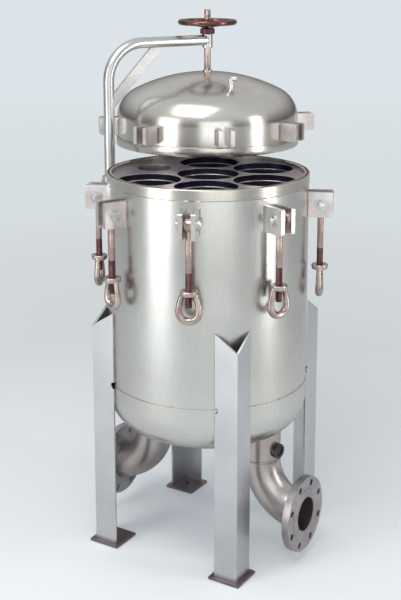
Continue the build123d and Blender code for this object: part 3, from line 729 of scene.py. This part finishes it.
# CAD nodes shown as they are, with a finish of their own
PAINTED = [("bottom_head", SHELL), ("outlet_stub", PIPE), ("outlet_elbow", PIPE),
           ("inlet_elbow", PIPE), ("inlet_standpipe", PIPE), ("rim_seal", SEAL),
           ("drain_plug", PLUG), ("davit_tube", TUBE), ("lid_boss", LID_RING),
           ("vent_nipple", PIN), ("vent_elbow", PIN)]


def dress_nodes():
    """Give the remaining CAD nodes their edges and finishes, the baskets their painted shade, and
    the baskets their lips.
    """
    for node, material, body, slot_name, width in SOFTENED:
        piece = softened(node, material, body, width)
        if node == "tube_sheet":
            darken_wells(piece)
    for node, material in PAINTED:
        paint(node, material)
    lip_in, lip_out, below, above = 0.0845, 0.0912, 0.001, 0.0012
    for i in range(1, 7):
        # the baskets get their painted shade
        paint(f"basket_{i}", BASKET)
        low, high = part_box(f"basket_{i}")
        lip = rounded([(lip_in, high.z - below), (lip_out, high.z - below),
                       (lip_out, high.z + above), (lip_in, high.z + above)], 0.001, 2)
        centre = Vector(((low.x + high.x) / 2, (low.y + high.y) / 2, 0))
        lathe(f"basket_lip_{i}", lip, 96, centre, PIN, "vessel")


# ---- studio -----------------------------------------------------------------------------------
# the floor's own light as the camera sees it, by share of GLOW_REACH from the origin
FLOOR_GLOW = [(0.0, (0.10, 0.12, 0.15)), (0.16, (0.05, 0.06, 0.07)),
              (0.40, (0.20, 0.23, 0.24)), (1.0, (0.28, 0.31, 0.34))]
GLOW_REACH = 12.0
CAMERA_SIDE = -58.2  # degrees round the vessel from +X, about where the camera stands
MIX_A, MIX_B, MIX_RESULT = 6, 7, 2  # the colour sockets of a mix node


def make_floor():
    """A wide pale disc whose own light, seen by the camera alone, lets it end in haze."""
    size, corners, drop = 60.0, 48, 0.0005
    mesh = bpy.data.meshes.new("floor")
    verts = [(size * cos(2 * pi * k / corners), size * sin(2 * pi * k / corners), -drop)
             for k in range(corners)]
    mesh.from_pydata(verts, [], [tuple(range(corners))])
    mat = bpy.data.materials.new("floor")
    mat.use_nodes = True
    nodes, links = mat.node_tree.nodes, mat.node_tree.links
    shader = nodes["Principled BSDF"]
    shader.inputs["Base Color"].default_value = (0.68, 0.69, 0.70, 1)
    shader.inputs["Roughness"].default_value = 0.9
    shader.inputs["Specular IOR Level"].default_value = 0.1
    place = nodes.new("ShaderNodeTexCoord")
    reach = nodes.new("ShaderNodeVectorMath")
    reach.operation = "LENGTH"
    links.new(place.outputs["Object"], reach.inputs[0])
    spread = nodes.new("ShaderNodeMapRange")
    spread.inputs["From Max"].default_value = GLOW_REACH
    links.new(reach.outputs["Value"], spread.inputs["Value"])
    ramp = nodes.new("ShaderNodeValToRGB")
    for k, (spot, color) in enumerate(FLOOR_GLOW):
        mark = ramp.color_ramp.elements[k] if k < 2 else ramp.color_ramp.elements.new(spot)
        mark.position, mark.color = spot, (*color, 1)
    links.new(spread.outputs["Result"], ramp.inputs["Fac"])
    links.new(ramp.outputs["Color"], shader.inputs["Emission Color"])
    rays = nodes.new("ShaderNodeLightPath")
    links.new(rays.outputs["Is Camera Ray"], shader.inputs["Emission Strength"])
    mesh.materials.append(mat)
    floor = bpy.data.objects.new("floor", mesh)
    bpy.context.scene.collection.objects.link(floor)


def softbox(name, angle, height, distance, width, tall, power, color, target=(0, 0, 0.85)):
    """A rectangular lamp round the vessel at an angle from the camera's side, facing it."""
    lamp = bpy.data.lights.new(name, "AREA")
    lamp.shape = "RECTANGLE"
    lamp.size, lamp.size_y = width, tall
    lamp.energy = power
    lamp.color = color
    holder = bpy.data.objects.new(name, lamp)
    bpy.context.scene.collection.objects.link(holder)
    a = radians(CAMERA_SIDE + angle)
    holder.location = (distance * cos(a), distance * sin(a), height)
    look = Vector(target) - holder.location
    holder.rotation_euler = look.to_track_quat("-Z", "Y").to_euler()


def make_studio():
    """Four softboxes, and a world that the camera sees as haze and the steel as a dim room."""
    softbox("left_box", -53, 1.3, 3.0, 1.3, 2.5, 31, (1.0, 1.0, 0.98))
    softbox("right_box", 68, 1.3, 3.0, 0.55, 2.5, 23, (1.0, 0.98, 0.93))
    softbox("front_box", 10, 1.4, 4.4, 3.2, 2.6, 34, (1.0, 1.0, 0.98))
    softbox("top_box", -30, 3.8, 1.6, 2.0, 2.0, 52, (1.0, 1.0, 1.0), (0, 0, 1.2))
    world = bpy.data.worlds.new("studio")
    bpy.context.scene.world = world
    world.use_nodes = True
    nodes, links = world.node_tree.nodes, world.node_tree.links
    sky = nodes["Background"]
    place = nodes.new("ShaderNodeTexCoord")
    split = nodes.new("ShaderNodeSeparateXYZ")
    links.new(place.outputs["Generated"], split.inputs["Vector"])
    room = gradient(nodes, 0.0, (0.10, 0.08, 0.08), 0.5, (0.70, 0.72, 0.72))
    links.new(split.outputs["Z"], room.inputs["Fac"])
    rays = nodes.new("ShaderNodeLightPath")
    mix = nodes.new("ShaderNodeMix")
    mix.data_type = "RGBA"
    links.new(rays.outputs["Is Camera Ray"], mix.inputs["Factor"])
    links.new(room.outputs["Color"], mix.inputs[MIX_A])
    haze = gradient(nodes, 0.0, (0.74, 0.78, 0.80), 0.25, (0.53, 0.58, 0.63))
    links.new(split.outputs["Z"], haze.inputs["Fac"])
    links.new(haze.outputs["Color"], mix.inputs[MIX_B])
    links.new(mix.outputs[MIX_RESULT], sky.inputs["Color"])
    sky.inputs["Strength"].default_value = 1.0


bpy.context.scene.view_settings.view_transform = "Standard"
make_floor()
make_studio()
make_vessel()
make_lid()
make_bolts()
make_cotters()
make_wheel()
make_lift_screw()
dress_nodes()
pipe_welds()
plate_welds()
leg_welds()
lid_and_arm_welds()
